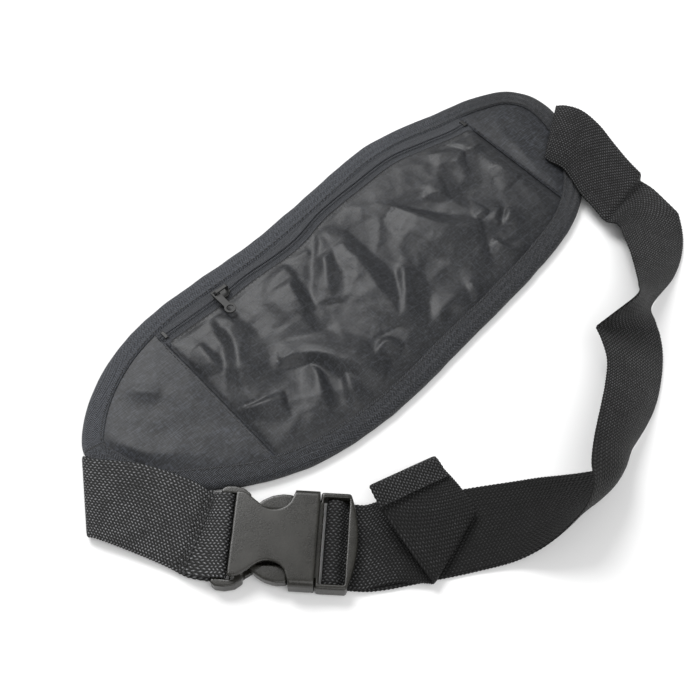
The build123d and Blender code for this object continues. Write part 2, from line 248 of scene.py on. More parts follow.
def ripstop_material():
    """Thin crackly nylon with a thicker thread both ways every few millimetres."""
    m = Material("ripstop_nylon")
    threads = [m.sum("GREATER_THAN", m.zigzag(value, 5.2), 0.44) for value in m.uv()]
    grid = m.sum("MAXIMUM", threads[0], threads[1])
    weave = m.weave(detail=3.0, roughness=0.7, along=0.3, across=1.7, weft_share=0.55)
    height = m.weigh(grid, 0.22, weave, 1.0)
    tone = m.weigh(weave, 1.0, grid, 0.04)
    colour = m.ramp(tone, [(0.36, grey(0.002, 0.2)), (0.5, grey(0.009, 0.25)), (0.64, grey(0.030, 0.3))])
    crinkle = m.bump(m.noise(4.0, detail=3.0, roughness=0.55), 0.10)
    return m.finish(Base_Color=colour, Roughness=m.scaled(weave, 0.14, 0.38),
                    Normal=m.bump(height, 0.14, crinkle),
                    Specular_IOR_Level=0.40, Sheen_Weight=0.02, Sheen_Roughness=0.35)


def satin_material():
    """Plain nylon of the end panels and the back."""
    m = Material("satin_nylon")
    weave = m.weave(detail=2.0, roughness=0.6, along=0.2, across=1.5, weft_share=0.6)
    colour = m.ramp(weave, [(0.36, grey(0.003, 0.25)), (0.5, grey(0.013, 0.3)), (0.64, grey(0.036, 0.35))])
    crinkle = m.bump(m.noise(9.0, detail=3.0, roughness=0.5), 0.25)
    return m.finish(Base_Color=colour, Roughness=0.48, Normal=m.bump(weave, 0.14, crinkle),
                    Specular_IOR_Level=0.32, Sheen_Weight=0.05, Sheen_Roughness=0.4)


def tape_material():
    """The zip's tape: a fine herringbone."""
    m = Material("zip_tape")
    along, across = m.uv()
    twill = m.weigh(along, 1.0, m.zigzag(across, 2.2), 3.0)
    line = m.sum("SINE", m.sum("MULTIPLY", twill, 2 * math.pi / 0.9))
    height = m.weigh(line, 0.4, m.noise(0.5, detail=1.0), 1.0)
    colour = m.ramp(height, [(0.15, grey(0.004, 0.1)), (0.55, grey(0.035, 0.2)), (0.9, grey(0.10, 0.2))])
    return m.finish(Base_Color=colour, Roughness=0.65, Normal=m.bump(height, 0.25),
                    Specular_IOR_Level=0.3, Sheen_Weight=0.06, Sheen_Roughness=0.45)


def thread_material():
    m = Material("thread")
    height = m.noise(0.35, detail=1.0)
    colour = m.ramp(height, [(0.2, grey(0.008)), (0.8, grey(0.03, 0.05))])
    return m.finish(Base_Color=colour, Roughness=0.5, Normal=m.bump(height, 0.1))


def coil_material():
    m = Material("zip_coil")
    colour = m.ramp(m.noise(0.8, detail=1.0), [(0.2, grey(0.006)), (0.8, grey(0.018))])
    return m.finish(Base_Color=colour, Roughness=0.45, Specular_IOR_Level=0.35)


def slider_material():
    """Black lacquer on die-cast metal."""
    m = Material("slider_metal")
    wear_and_painted_light = m.noise(1.5, detail=4.0, roughness=0.6)
    colour = m.ramp(wear_and_painted_light, [(0.35, grey(0.008)), (0.8, grey(0.022))])
    return m.finish(Base_Color=colour, Roughness=m.scaled(wear_and_painted_light, 0.25, 0.38), Specular_IOR_Level=0.4,
                    Normal=m.bump(wear_and_painted_light, 0.05))


def buckle_material():
    """Moulded plastic, black with a trace of olive."""
    m = Material("buckle_plastic")
    grain = m.noise(0.8, detail=2.0, roughness=0.6)
    flow = m.noise(14.0, detail=3.0, roughness=0.6)
    mix = m.weigh(grain, 0.6, flow, 0.4)
    colour = m.ramp(mix, [(0.3, (0.007, 0.0068, 0.0055)), (0.7, (0.025, 0.0240, 0.0200))])
    return m.finish(Base_Color=colour, Roughness=m.scaled(flow, 0.14, 0.20), Normal=m.bump(grain, 0.02),
                    Specular_IOR_Level=0.45)


# Painted light and shade along the main strap's length: its yarns are painted dull on the flat stretch
# before the plug and on the tail, and brighter where it rounds the plug's bar and at the tail's hem.
main_painted_light = [(0, 1.0), (190, 1.0), (250, 0.5), (330, 0.6), (355, 1.0), (398, 1.0),
             (412, 0.65), (469, 0.7), (475, 1.1), (500, 1.1)]
materials = {
    "webbing": webbing_material("webbing", gain=1.0, painted_highlight=0.6, gloss=0.16, wear_and_painted_light=main_painted_light),
    # a lighter copy of the webbing for the left strap: painted light
    "webbing_left": webbing_material("webbing_left", gain=1.7, painted_highlight=1.5, gloss=0.24),
    "binding_tape": binding_material(),
    "ripstop_nylon": ripstop_material(),
    "satin_nylon": satin_material(),
    "zip_tape": tape_material(),
    "zip_coil": coil_material(),
    "thread": thread_material(),
    "slider_metal": slider_material(),
    "buckle_plastic": buckle_material(),
}


# ================================================================ mesh helpers
def make_piece(name, points, faces, slot, body="pouch", uv=None, replaces=()):
    """A mesh piece from points in millimetres, that rides on a CAD body (or on none when body is None)."""
    mesh = bpy.data.meshes.new(name)
    mesh.from_pydata([tuple(float(c) * MM for c in p) for p in points], [], [tuple(f) for f in faces])
    if uv is not None:
        corners = np.empty(len(mesh.loops), dtype=np.int32)
        mesh.loops.foreach_get("vertex_index", corners)
        layer = mesh.uv_layers.new(name="cloth")
        layer.data.foreach_set("uv", (np.asarray(uv, float)[corners] * MM).ravel())
    mesh.polygons.foreach_set("use_smooth", [True] * len(mesh.polygons))
    mesh.update()
    piece = bpy.data.objects.new(name, mesh)
    bpy.context.collection.objects.link(piece)
    piece.data.materials.append(materials[slot])
    if body is not None:
        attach(piece, body)
    if replaces:
        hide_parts(*replaces)
    return piece


def spline(points, steps, closed=False):
    """A centripetal Catmull-Rom curve through points, with a number of steps between two of them."""
    p = np.asarray(points, float)
    if closed:
        p = np.vstack([p[-1], p, p[:2]])
    else:
        p = np.vstack([2 * p[0] - p[1], p, 2 * p[-1] - p[-2]])
    out = []
    for i in range(1, len(p) - 2):
        a, b, c, d = p[i - 1], p[i], p[i + 1], p[i + 2]
        t0 = 0.0
        t1 = t0 + max(np.linalg.norm((b - a)[:3]), 1e-6) ** 0.5
        t2 = t1 + max(np.linalg.norm((c - b)[:3]), 1e-6) ** 0.5
        t3 = t2 + max(np.linalg.norm((d - c)[:3]), 1e-6) ** 0.5
        for t in np.linspace(t1, t2, steps, endpoint=False):
            a1 = (t1 - t) / (t1 - t0) * a + (t - t0) / (t1 - t0) * b
            a2 = (t2 - t) / (t2 - t1) * b + (t - t1) / (t2 - t1) * c
            a3 = (t3 - t) / (t3 - t2) * c + (t - t2) / (t3 - t2) * d
            b1 = (t2 - t) / (t2 - t0) * a1 + (t - t0) / (t2 - t0) * a2
            b2 = (t3 - t) / (t3 - t1) * a2 + (t - t1) / (t3 - t1) * a3
            out.append((t2 - t) / (t2 - t1) * b1 + (t - t1) / (t2 - t1) * b2)
    if not closed:
        out.append(p[-2])
    return np.array(out)


def even(points, pitch, closed=False):
    """The same line with points at an even pitch."""
    p = np.vstack([points, points[:1]]) if closed else np.asarray(points)
    length = np.concatenate([[0], np.cumsum(np.linalg.norm(np.diff(p[:, :3], axis=0), axis=1))])
    count = max(2, int(round(length[-1] / pitch)))
    wanted = np.linspace(0, length[-1], count + 1)
    if closed:
        wanted = wanted[:-1]
    return np.column_stack([np.interp(wanted, length, p[:, k]) for k in range(p.shape[1])])


def grid_faces(rows, columns, closed=False, looped=False):
    """Quads of a grid of points: closed joins the last column to the first, looped the last row."""
    faces = []
    for i in range(rows if looped else rows - 1):
        j = (i + 1) % rows
        for k in range(columns if closed else columns - 1):
            n = (k + 1) % columns
            faces.append((i * columns + k, j * columns + k, j * columns + n, i * columns + n))
    return faces


def double_sheet_faces(columns, rows, top_first):
    """Faces of a sheet's two layers, a grid each, and of the edge that joins them."""
    count = columns * rows
    layer = grid_faces(columns, rows)
    if top_first:
        layer = [tuple(reversed(f)) for f in layer]
    faces = layer + [tuple(count + i for i in reversed(f)) for f in layer]
    ring = [i * rows for i in range(columns)]
    ring += [(columns - 1) * rows + j for j in range(1, rows)]
    ring += [i * rows + rows - 1 for i in reversed(range(columns - 1))]
    ring += [j for j in reversed(range(1, rows - 1))]
    for a, b in zip(ring, ring[1:] + ring[:1]):
        faces.append((a, a + count, b + count, b) if top_first else (a, b, b + count, a + count))
    return faces


def tube_faces(base, rings, sides):
    """Quads between rings of points that start at number base."""
    faces = []
    for r in range(rings - 1):
        for k in range(sides):
            n = (k + 1) % sides
            faces.append((base + r * sides + k, base + r * sides + n,
                          base + (r + 1) * sides + n, base + (r + 1) * sides + k))
    return faces


def stitch_mesh(name, lines, pitch, length, width, height, replaces=()):
    """Rows of thread stitches along lines of points: a flattened bead for each."""
    points = []
    faces = []
    rings = [(-0.5, 0.25), (-0.32, 0.85), (0.0, 1.0), (0.32, 0.85), (0.5, 0.25)]
    sides = 6
    for line in lines:
        p = even(np.asarray(line, float), pitch)
        for a, b in zip(p[:-1], p[1:]):
            run = (b - a) / np.linalg.norm(b - a)
            middle = (a + b) / 2
            side = np.cross([0, 0, 1.0], run)
            side /= np.linalg.norm(side)
            up = np.cross(run, side)
            base = len(points)
            for share, size in rings:
                dip = -0.6 * height * (abs(share) * 2) ** 2
                for k in range(sides):
                    turn = 2 * math.pi * k / sides
                    points.append(middle + run * share * length + side * math.cos(turn) * width / 2 * size
                                  + up * (math.sin(turn) * height / 2 * size + dip))
            faces += tube_faces(base, len(rings), sides)
            faces.append([base + k for k in reversed(range(sides))])
            faces.append([base + (len(rings) - 1) * sides + k for k in range(sides)])
    return make_piece(name, points, faces, "thread", replaces=replaces)


def wave(x, y, size, seed):
    """Smooth noise from -1 to 1 with features of about size millimetres."""
    return noise.noise(Vector((x / size + seed * 7.3, y / size - seed * 3.1, seed * 1.7)))


def waves(x, y, size, seed):
    return np.array([wave(a, b, size, seed) for a, b in zip(x, y)])


def creases(x, y, size, seed):
    """Crumple of thin cloth: soft hollows that meet in sharp crests."""
    bend_x = x + 0.25 * size * waves(x, y, size * 0.8, seed + 1)
    bend_y = y + 0.25 * size * waves(x, y, size * 0.8, seed + 2)
    return 1 - np.clip(1.5 * np.abs(waves(bend_x, bend_y, size, seed)), 0, 1)


# ================================================================ the pouch's outline
outline_points = [
    (-158, 15), (-150, 27), (-136, 38.5), (-114, 49.5), (-88, 55.2), (-58, 56), (-28, 56),
    (0, 58.5), (28, 62), (56, 65), (78, 63.5), (104, 57.5), (130, 51.5), (148, 43), (156.5, 31),
    (158, 17), (153, -2), (142, -20), (127, -35), (106, -46.5), (78, -53), (44, -57.5),
    (10, -61), (-24, -64.5), (-56, -64.5), (-84, -60), (-107, -50.8), (-126, -38.2),
    (-144, -24), (-154, -7),
]


def make_rim():
    """The outline at an even pitch, and which way is inwards at each of its points."""
    line = even(spline(outline_points, 14, closed=True), RIM_PITCH, closed=True)
    run = np.roll(line, -1, 0) - np.roll(line, 1, 0)
    run /= np.linalg.norm(run, axis=1)[:, None]
    inward = np.column_stack([run[:, 1], -run[:, 0]])
    for _ in range(6):
        inward = (np.roll(inward, 1, 0) + inward + np.roll(inward, -1, 0)) / 3
    inward /= np.linalg.norm(inward, axis=1)[:, None]
    return line, inward


rim, rim_in = make_rim()


def inset_line(distance):
    return rim + rim_in * distance


def limits(distance, xs):
    """Lowest and highest y of the inset outline at each x."""
    line = inset_line(distance)
    left = int(np.argmin(line[:, 0]))
    right = int(np.argmax(line[:, 0]))
    ring = np.roll(line, -left, 0)
    right = (right - left) % len(line)
    top = ring[:right + 1]
    bottom = np.vstack([ring[right:], ring[:1]])[::-1]
    high = np.interp(xs, top[:, 0], top[:, 1])
    low = np.interp(xs, bottom[:, 0], bottom[:, 1])
    return low, high


def rim_inset(x, y):
    """How far inside the pouch's outline each point lies, worked out for a batch of points at a time."""
    out = np.empty(len(x))
    batch = 2000
    for i in range(0, len(x), batch):
        gap = np.hypot(x[i:i + batch, None] - rim[None, :, 0], y[i:i + batch, None] - rim[None, :, 1])
        out[i:i + batch] = gap.min(axis=1)
    return out


zip_line = spline([(-100, 40.0), (-80, 40.0), (-57, 40.0), (-40, 41.0), (-17, 40.6), (-5, 42.0),
                   (13, 46.4), (40, 48.6), (66, 49.4), (86, 45.0), (105, 40.4), (118, 39.6)], 10)


def zip_y(x):
    return np.interp(x, zip_line[:, 0], zip_line[:, 1])


# ================================================================ the front's cloth
# Folds of the pocket panel: the line of each crest, its height, and how far its flanks reach.
folds = [
    ([(6, 37), (6, 22), (4, 5), (-4, -34)], 3.2, 15),
    ([(5, 38), (-9, 17), (-22, -2)], 3.4, 9),
    ([(-24, 34), (-31, 18), (-36, 2)], 3.0, 9),
    ([(-22, 35), (-8, 30)], 1.6, 5),
    ([(-43, 22), (-38, 6), (-40, -10)], 1.8, 8),
    ([(-68, 32), (-71, 13), (-79, -2), (-86, -18)], 3.0, 9),
    ([(-92, -17), (-83, -22), (-72, -27)], 2.6, 6),
    ([(-62, -10), (-50, -14), (-42, -24), (-30, -50)], 3.6, 11),
    ([(-51, -20), (-55, -30), (-62, -44)], 2.2, 6),
    ([(-42, -32), (-45, -40), (-51, -54)], 2.0, 6),
    ([(-28, -40), (-18, -36), (-13, -44)], 2.6, 6),
    ([(20, -8), (10, -22), (-6, -34)], 2.6, 8),
    ([(42, 22), (48, 5), (56, -10), (68, -18)], 3.8, 12),
    ([(68, -12), (78, -12)], 2.4, 5),
    ([(84, -14), (74, -21)], 2.4, 4.5),
    ([(88, -18), (78, -26)], 2.0, 5),
    ([(66, -28), (67, -38), (78, -42)], 2.8, 6),
    ([(39, -38), (35, -48), (25, -52)], 2.4, 7),
    ([(83, 36), (89, 29), (97, 23)], 2.2, 7),
    ([(98, 34), (102, 24), (112, 23)], 2.2, 6),
    ([(104, 8), (106, -8)], 1.8, 6),
    ([(60, 16), (72, 11)], 1.6, 7),
    ([(-84, 24), (-88, 6)], 1.8, 7),
    ([(10, -44), (22, -42), (30, -50)], 1.8, 7),
]
fine_folds = [(even(spline(line, 6), 1.0), height, reach) for line, height, reach in folds]


def fold_height(x, y):
    """Stiff thin cloth: the highest of the folds' flanks, each steep on one side and long on the other."""
    total = np.ones_like(x)
    soft = 0.22
    for number, (line, height, reach) in enumerate(fine_folds):
        dx = x[:, None] - line[None, :, 0]
        dy = y[:, None] - line[None, :, 1]
        gap = np.hypot(dx, dy)
        near = np.argmin(gap, axis=1)
        pick = np.arange(len(x))
        gap = gap[pick, near]
        way = np.gradient(line, axis=0)[near]
        side = np.tanh((way[:, 0] * dy[pick, near] - way[:, 1] * dx[pick, near]) / 1.5)
        lean = 0.45 if number % 2 else -0.45
        along = near / (len(line) - 1)
        crest = FOLD_GAIN * height * np.clip(0.25 + 1.5 * np.sqrt(along * (1 - along)), 0, 1)
        spread = reach * (0.5 + 0.9 * along) * (1.25 + lean * side)
        rise = crest * (1 - np.sqrt(gap ** 2 + 0.4) / spread)
        total += np.exp(np.clip(rise, -3, None) / soft)
    return soft * np.log(total)


def pocket_height(x, y, inset):
    """Height of the pocket's front: sewn down at its edges, puffed and folded between them."""
    below_zip = zip_y(x) - POCKET_SEAM - y
    inside = np.minimum.reduce([x - SEAM_LEFT, SEAM_RIGHT - x, inset - SEWN_RIM, below_zip])
    inside = np.clip(inside, 0, None)
    swell = 1 - np.exp(-inside / SWELL_REACH)
    cloth = 0.3 + 1.0 * waves(x, y, 30, 1) + 1.5 * creases(x, y, 34, 20)
    cloth += 0.75 * creases(x, y, 17, 24) + 0.30 * creases(x, y, 9, 28)
    cloth += fold_height(x + 1.2 * waves(x, y, 14, 4), y + 1.2 * waves(x, y, 14, 8))
    # beside the zip, the folded edge lies over the tape, and runs out at both ends
    below_fold = zip_y(x) - POCKET_EDGE - y
    lap = LAP_RISE * np.clip(1.6 - below_fold / 2.5, 0, 1)
    lap *= np.clip(np.minimum(x - SEAM_LEFT, SEAM_RIGHT - x) / 4, 0, 1)
    base = np.maximum(SEWN_HEIGHT + 0.35 * np.clip(inside / 2, 0, 1), SEWN_HEIGHT + lap)
    z = base + swell * np.clip(cloth, -0.4, None) * 0.95
    # a soft ceiling leaves room for the pull tab
    ceiling = TAB_CEILING + FREE_CEILING * np.clip((TAB_REACH - y) / 6, 0, 1)
    return ceiling - np.log1p(np.exp(3 * (ceiling - z))) / 3


def panel(name, x_low, x_high, upper, height, slot, replaces, pitch):
    """A front panel as a double sheet: columns of cloth from the lower edge to the upper one."""
    xs = np.linspace(x_low, x_high, int((x_high - x_low) / pitch) + 1)
    low, high = limits(5.0, xs)
    if upper is not None:
        high = np.minimum(high, upper(xs))
    rows = int(np.max(high - low) / pitch) + 2
    share = np.linspace(0, 1, rows)
    x = np.repeat(xs, rows)
    y = (low[:, None] + (high - low)[:, None] * share[None, :]).ravel()
    z = height(x, y, rim_inset(x, y))
    top = np.column_stack([x, y, z])
    points = np.vstack([top, top - [0, 0, CLOTH_THICK]])
    uv = np.vstack([top[:, :2], top[:, :2]])
    faces = double_sheet_faces(len(xs), rows, top_first=True)
    piece = make_piece(name, points, faces, slot, uv=uv, replaces=replaces)
    return piece, xs, low, high


def pocket_top(x):
    return zip_y(x) - POCKET_EDGE


def make_pocket_panel():
    piece, xs, low, high = panel("pocket_panel", SEAM_LEFT - 1.0, SEAM_RIGHT + 1.0, pocket_top,
                                 pocket_height, "ripstop_nylon", ["pocket_front"], pitch=1.0)


def make_end_panel(name, node, x_low, x_high, seam, wrinkles):
    """A plain end panel, lapped over the pocket panel's end and sewn through it."""
    def height(x, y, inset):
        away = np.abs(x - seam)
        inside = np.clip(np.minimum(inset - SEWN_RIM, away), 0, None)
        swell = 1 - np.exp(-inside / SWELL_REACH)
        z = SEWN_HEIGHT + swell * (1.0 + 0.8 * waves(x, y, 26, 5) + 0.3 * waves(x, y, 11, 6))
        z += 0.55 * np.exp(-away / 2.5) * np.clip(inset / 10 - 0.5, 0, 0.5) * 2
        for (x1, y1), (x2, y2), rise, width in wrinkles:
            run = np.array([x2 - x1, y2 - y1])
            t = np.clip(((x - x1) * run[0] + (y - y1) * run[1]) / (run @ run), 0, 1)
            gap = np.hypot(x - x1 - t * run[0], y - y1 - t * run[1])
            z += swell * rise * np.sin(math.pi * np.clip(t, 0.12, 0.88)) * np.exp(-(gap / width) ** 1.4)
        return z
    piece, xs, low, high = panel(name, x_low, x_high, None, height, "satin_nylon", [node], pitch=1.4)


def make_end_panels():
    """Both ends; a wrinkle is its two ends, its height and its width."""
    make_end_panel("end_panel_left", "left_end_panel", -150.0, SEAM_LEFT, SEAM_LEFT,
                   [((-146, 12), (-134, -14), 2.0, 5), ((-126, 30), (-112, 12), 1.6, 5),
                    ((-142, -2), (-120, -22), 1.2, 6), ((-108, 22), (-100, -30), 0.8, 8)])
    make_end_panel("end_panel_right", "right_end_panel", SEAM_RIGHT, 150.5, SEAM_RIGHT,
                   [((124, 22), (118, -18), 1.2, 5), ((132, 30), (140, 6), 0.9, 7)])


def make_back():
    """The cloth against the wearer and the pocket's lining on it, as one closed double sheet."""
    xs = np.concatenate([[-154.5, -153.5, -152], np.linspace(-150, 150, 150), [152, 153.5, 154.3]])
    low, high = limits(1.5, xs)
    rows = 60
    points = []
    uv = []
    for x, a, b in zip(xs, low, high):
        for s in np.linspace(0, 1, rows):
            y = a + (b - a) * s
            points.append((x, y, 0.25 + 0.15 * wave(x, y, 30, 9)))
            uv.append((x, y))
    top = [(x, y, 1.3 + 0.2 * wave(x, y, 22, 11)) for x, y, z in points]
    faces = double_sheet_faces(len(xs), rows, top_first=False)
    piece = make_piece("back_cloth", points + top, faces, "satin_nylon", uv=uv + uv,
                       replaces=["back_panel", "inner_lining"])


def make_binding():
    """Twill tape folded over the edge: a C section swept round the outline, a little uneven."""
    # (inset from the outline, height): over the front, round the edge, along the back, and inside again
    section = [(10.5, 4.35), (10.3, 4.75), (8.6, 4.95), (5.5, 5.1), (2.6, 5.0), (1.0, 4.5), (0.25, 3.6),
               (0.0, 2.5), (0.2, 1.3), (0.9, 0.5), (2.6, 0.1), (6.0, 0.05), (9.6, 0.1), (10.4, 0.25),
               (10.5, 0.55), (9.6, 0.7), (3.0, 0.75), (1.3, 1.1), (0.9, 2.4), (1.2, 3.7), (3.0, 4.2),
               (9.6, 4.2)]
    reach = np.concatenate([[0], np.cumsum(np.hypot(*np.diff(np.array(section), axis=0).T))])
    rim_length = np.arange(len(rim)) * RIM_PITCH
    points = []
    uv = []
    for p, n, u in zip(rim, rim_in, rim_length):
        puff = 0.18 * wave(p[0], p[1], 12, 13)
        pull = 0.35 * wave(p[0], p[1], 20, 14)
        scallop = 0.35 * wave(p[0], p[1], 9, 16)
        for (inset, z), v in zip(section, reach):
            lift = puff if z > 4.0 and 1.0 < inset < 10.0 else 0.0
            share = inset / BINDING_WIDTH
            q = p + n * (inset + pull * share + scallop * (1 - share))
            points.append((q[0], q[1], z + lift))
            uv.append((u, v))
    faces = grid_faces(len(rim), len(section), closed=True, looped=True)
    piece = make_piece("binding", points, faces, "binding_tape", uv=uv, replaces=["edge_binding"])
    inner = inset_line(9.3)
    for name, z, height in (("binding_stitches", 5.12, 0.32), ("binding_stitches_back", 0.09, 0.12)):
        row = np.column_stack([inner, np.full(len(inner), z)])
        stitch_mesh(name, [row], pitch=3.0, length=2.3, width=0.42, height=height)


def make_seams():
    """Topstitching beside the two panel seams."""
    rows = []
    for seam, side, low, high in ((SEAM_LEFT, -1, -49, 35), (SEAM_RIGHT, 1, -38, 35)):
        ys = np.linspace(low, high, 40)
        x = np.full(40, seam + side * 1.6)
        rows.append(np.column_stack([x, ys, np.full(40, 4.85)]))
    stitch_mesh("seam_stitches", rows, pitch=3.0, length=2.3, width=0.42, height=0.3,
                replaces=["panel_stitching"])


# ================================================================ the zip
def zip_gap(x):
    """Half the gap between the tapes: closed left of the slider, open right of it."""
    opened = np.clip((x - SLIDER_X - 2.0) / 18.0, 0, 1)
    closing = np.clip((ZIP_END - 2 - x) / 20.0, 0, 1)
    return 0.05 + 0.14 * (opened * closing) ** 0.6


def make_zip_tape(name, side, replaces):
    """Half of the tape: rolled over the coil, then flat to under the binding or under the pocket."""
    xs = np.linspace(SEAM_LEFT - 1.5, SEAM_RIGHT + 1.5, 280)
    centre = zip_y(xs)
    gap = zip_gap(xs)
    _, rim_high = limits(7.0, xs)
    # (away from the gap, height)
    section = [(0.0, 3.9), (0.02, 4.6), (0.2, 5.0), (0.6, 5.25), (1.0, 5.15), (1.25, 4.8), (1.45, 4.55)]
    rolled = section[-1][0]
    points = []
    uv = []
    for x, c, g, top in zip(xs, centre, gap, rim_high):
        reach = (top - c - g) if side > 0 else 6.8 - g
        reach = max(reach, 3.2)
        row = list(section)
        for s in (0.33, 0.66, 1.0):
            ripple = 0.12 * wave(x, s * 9, 7, 15)
            row.append((rolled + (reach - rolled) * s, TAPE_HEIGHT - 0.1 * s + ripple))
        for across, z in row:
            points.append((x, c + side * (g + across), z))
            uv.append((x, across + 1))
        for across, z in reversed(row):
            points.append((x, c + side * (g + across * 0.98 + 0.03), z - 0.35))
            uv.append((x, across + 1))
    columns = 2 * len(row)
    faces = grid_faces(len(xs), columns, closed=True)
    if side > 0:
        faces = [tuple(reversed(f)) for f in faces]
    faces.append(tuple(range(columns)))
    faces.append(tuple((len(xs) - 1) * columns + k for k in reversed(range(columns))))
    piece = make_piece(name, points, faces, "zip_tape", uv=uv, replaces=replaces)


def make_coil(name, side, replaces):
    """The nylon coil under a tape's rolled edge: one small loop for each tooth."""
    points = []
    faces = []
    sides = 5
    # (away from the gap, along the zip)
    loop = [(0.9, -0.45), (0.1, -0.3), (-0.28, 0.0), (0.1, 0.3), (0.9, 0.45)]
    xs = np.arange(ZIP_START + 2, ZIP_END - 1, TOOTH_PITCH)
    for x in xs + (0.6 if side > 0 else 0.0):
        c = zip_y(x)
        g = zip_gap(x)
        base = len(points)
        for across, shift in loop:
            for k in range(sides):
                turn = 2 * math.pi * k / sides
                points.append((x + shift + 0.22 * math.cos(turn), c + side * (g + across),
                               COIL_HEIGHT + 0.3 * math.sin(turn)))
        faces += tube_faces(base, len(loop), sides)
    make_piece(name, points, faces, "zip_coil", replaces=replaces)


def make_zip():
    make_zip_tape("zip_tape_top", 1, ["zip_tape_upper"])
    make_zip_tape("zip_tape_bottom", -1, ["zip_tape_lower"])
    make_coil("coil_top", 1, ["zip_coil_upper"])
    make_coil("coil_bottom", -1, ["zip_coil_lower"])
    xs = np.linspace(SEAM_LEFT + 2, SEAM_RIGHT - 2, 120)
    seam_y = zip_y(xs) - ZIP_STITCH
    fold = np.column_stack([xs, seam_y, pocket_height(xs, seam_y, rim_inset(xs, seam_y)) + 0.1])
    stitch_mesh("zip_stitches", [fold], pitch=2.6, length=2.0, width=0.5, height=0.3)


# ================================================================ webbing
def ribbon(lows, highs, cup):
    """Points and faces of a closed strip of webbing between two selvages, bowed by cup."""
    # (share of the width, share of half the thickness)
    section = [(0.0, 0.35), (0.012, 0.8)] + [(t, 1.0) for t in np.linspace(0.045, 0.955, 13)]
    section += [(0.988, 0.8), (1.0, 0.35)]
    section += [(t, -h) for t, h in reversed(section)]
    middle = (lows + highs) / 2
    run = np.gradient(middle, axis=0)
    across = highs - lows
    across /= np.linalg.norm(across, axis=1)[:, None]
    normal = np.cross(across, run)
    normal /= np.linalg.norm(normal, axis=1)[:, None]
    length = np.concatenate([[0], np.cumsum(np.linalg.norm(np.diff(middle, axis=0), axis=1))])
    points = []
    uv = []
    for i in range(len(lows)):
        tooth = 0.16 * math.cos(2 * math.pi * length[i] / WEAVE_PITCH)
        for t, h in section:
            p = lows[i] + (highs[i] - lows[i]) * t
            p = p + normal[i] * (h * WEBBING_THICK / 2 + cup[i] * 4 * t * (1 - t))
            if t in (0.0, 1.0):
                p = p + across[i] * tooth * (1 if t else -1)
            points.append(p)
            uv.append((length[i], t * WEBBING))
    columns = len(section)
    faces = grid_faces(len(lows), columns, closed=True)
    faces.append(tuple(reversed(range(columns))))
    faces.append(tuple((len(lows) - 1) * columns + k for k in range(columns)))
    return points, faces, uv, float(length[-1])


def strap(name, stations, slot, body, replaces):
    """Webbing through stations of (one selvage, other selvage, cup); a fourth value marks a crease."""
    rows = np.array([[*station[0], *station[1], station[2]] for station in stations], float)
    rows = np.column_stack([(rows[:, :3] + rows[:, 3:6]) / 2, rows])
    turns = [i for i, station in enumerate(stations) if len(station) == 4]
    ends = [0] + turns + [len(stations) - 1]
    runs = [spline(rows[a:b + 1], 12) for a, b in zip(ends, ends[1:])]
    fine = np.vstack([runs[0]] + [run[1:] for run in runs[1:]])
    fine = even(fine, STRAP_PITCH)
    if turns:
        for _ in range(2):
            fine[1:-1] = (fine[:-2] + fine[1:-1] + fine[2:]) / 3
    points, faces, uv, length = ribbon(fine[:, 3:6], fine[:, 6:9], fine[:, 9])
    piece = make_piece(name, points, faces, slot, body, uv=uv, replaces=replaces)
    return piece, length


def buckle_point(along, across, height):
    c, s = math.cos(BUCKLE_HEADING), math.sin(BUCKLE_HEADING)
    return (BUCKLE[0] + along * c - across * s, BUCKLE[1] + along * s + across * c, height)


def buckle_pair(along, height, first=-1):
    """A station square to the buckle; first says on which side its first selvage lies."""
    half = first * WEBBING / 2
    return (buckle_point(along, half, height), buckle_point(along, -half, height), 0.0)


def make_left_strap():
    """Webbing from under the pouch's left end, folded over, and looped round the socket's bar."""
    stations = [
        ((-140, -20, 2.2), (-140, 14, 2.2), 0),
        ((-152, -20, 2.0), (-150, 14, 2.0), 0),
        ((-172, -19.4, 1.4), (-157, 12.5, 1.4), 0),
        ((-179, -19.2, 1.6), (-158.5, 14, 1.6), 0),
        ((-180, -20, 3.0), (-159, 13.5, 3.4), 0),
        ((-178.6, -22.5, 4.2), (-157.5, 9.5, 5.2), 0),
        ((-171, -37, 3.8), (-142, -10, 7.2), 0),
        ((-163, -54, 3.0), (-130, -33, 7.0), 0),
        ((-159, -64, 2.6), (-127.5, -41.5, 5.0), 0),
        buckle_pair(-46.0, 2.6),
        buckle_pair(-40.4, 2.6),
        buckle_pair(-38.7, 3.6),
        buckle_pair(-38.3, 5.2),
        buckle_pair(-38.7, 6.9),
        buckle_pair(-40.2, 7.9),
        buckle_pair(-46.0, 7.6),
        ((-159.5, -62, 4.4), (-126.5, -43, 7.2), 0),
        ((-160.8, -58, 4.6), (-127.5, -40, 7.6), 0),
    ]
    # the left strap gets the lighter copy of the webbing, which paints light on it
    piece, length = strap("webbing_left", stations, "webbing_left", "pouch", ["left_strap"])
    # two rows of heavy thread beside the free end, a share of the way from one line to the other
    tack_from = np.array([[-160.6, -58.6, 5.6], [-127.3, -40.6, 8.6]])
    tack_to = np.array([[-159.3, -63.4, 5.4], [-126.1, -44.6, 8.4]])
    rows = [tack_from * (1 - share) + tack_to * share for share in (0.16, 0.62)]
    stitch_mesh("tack_left", rows, pitch=2.6, length=2.2, width=0.6, height=0.45,
                replaces=["left_bar_tack"])


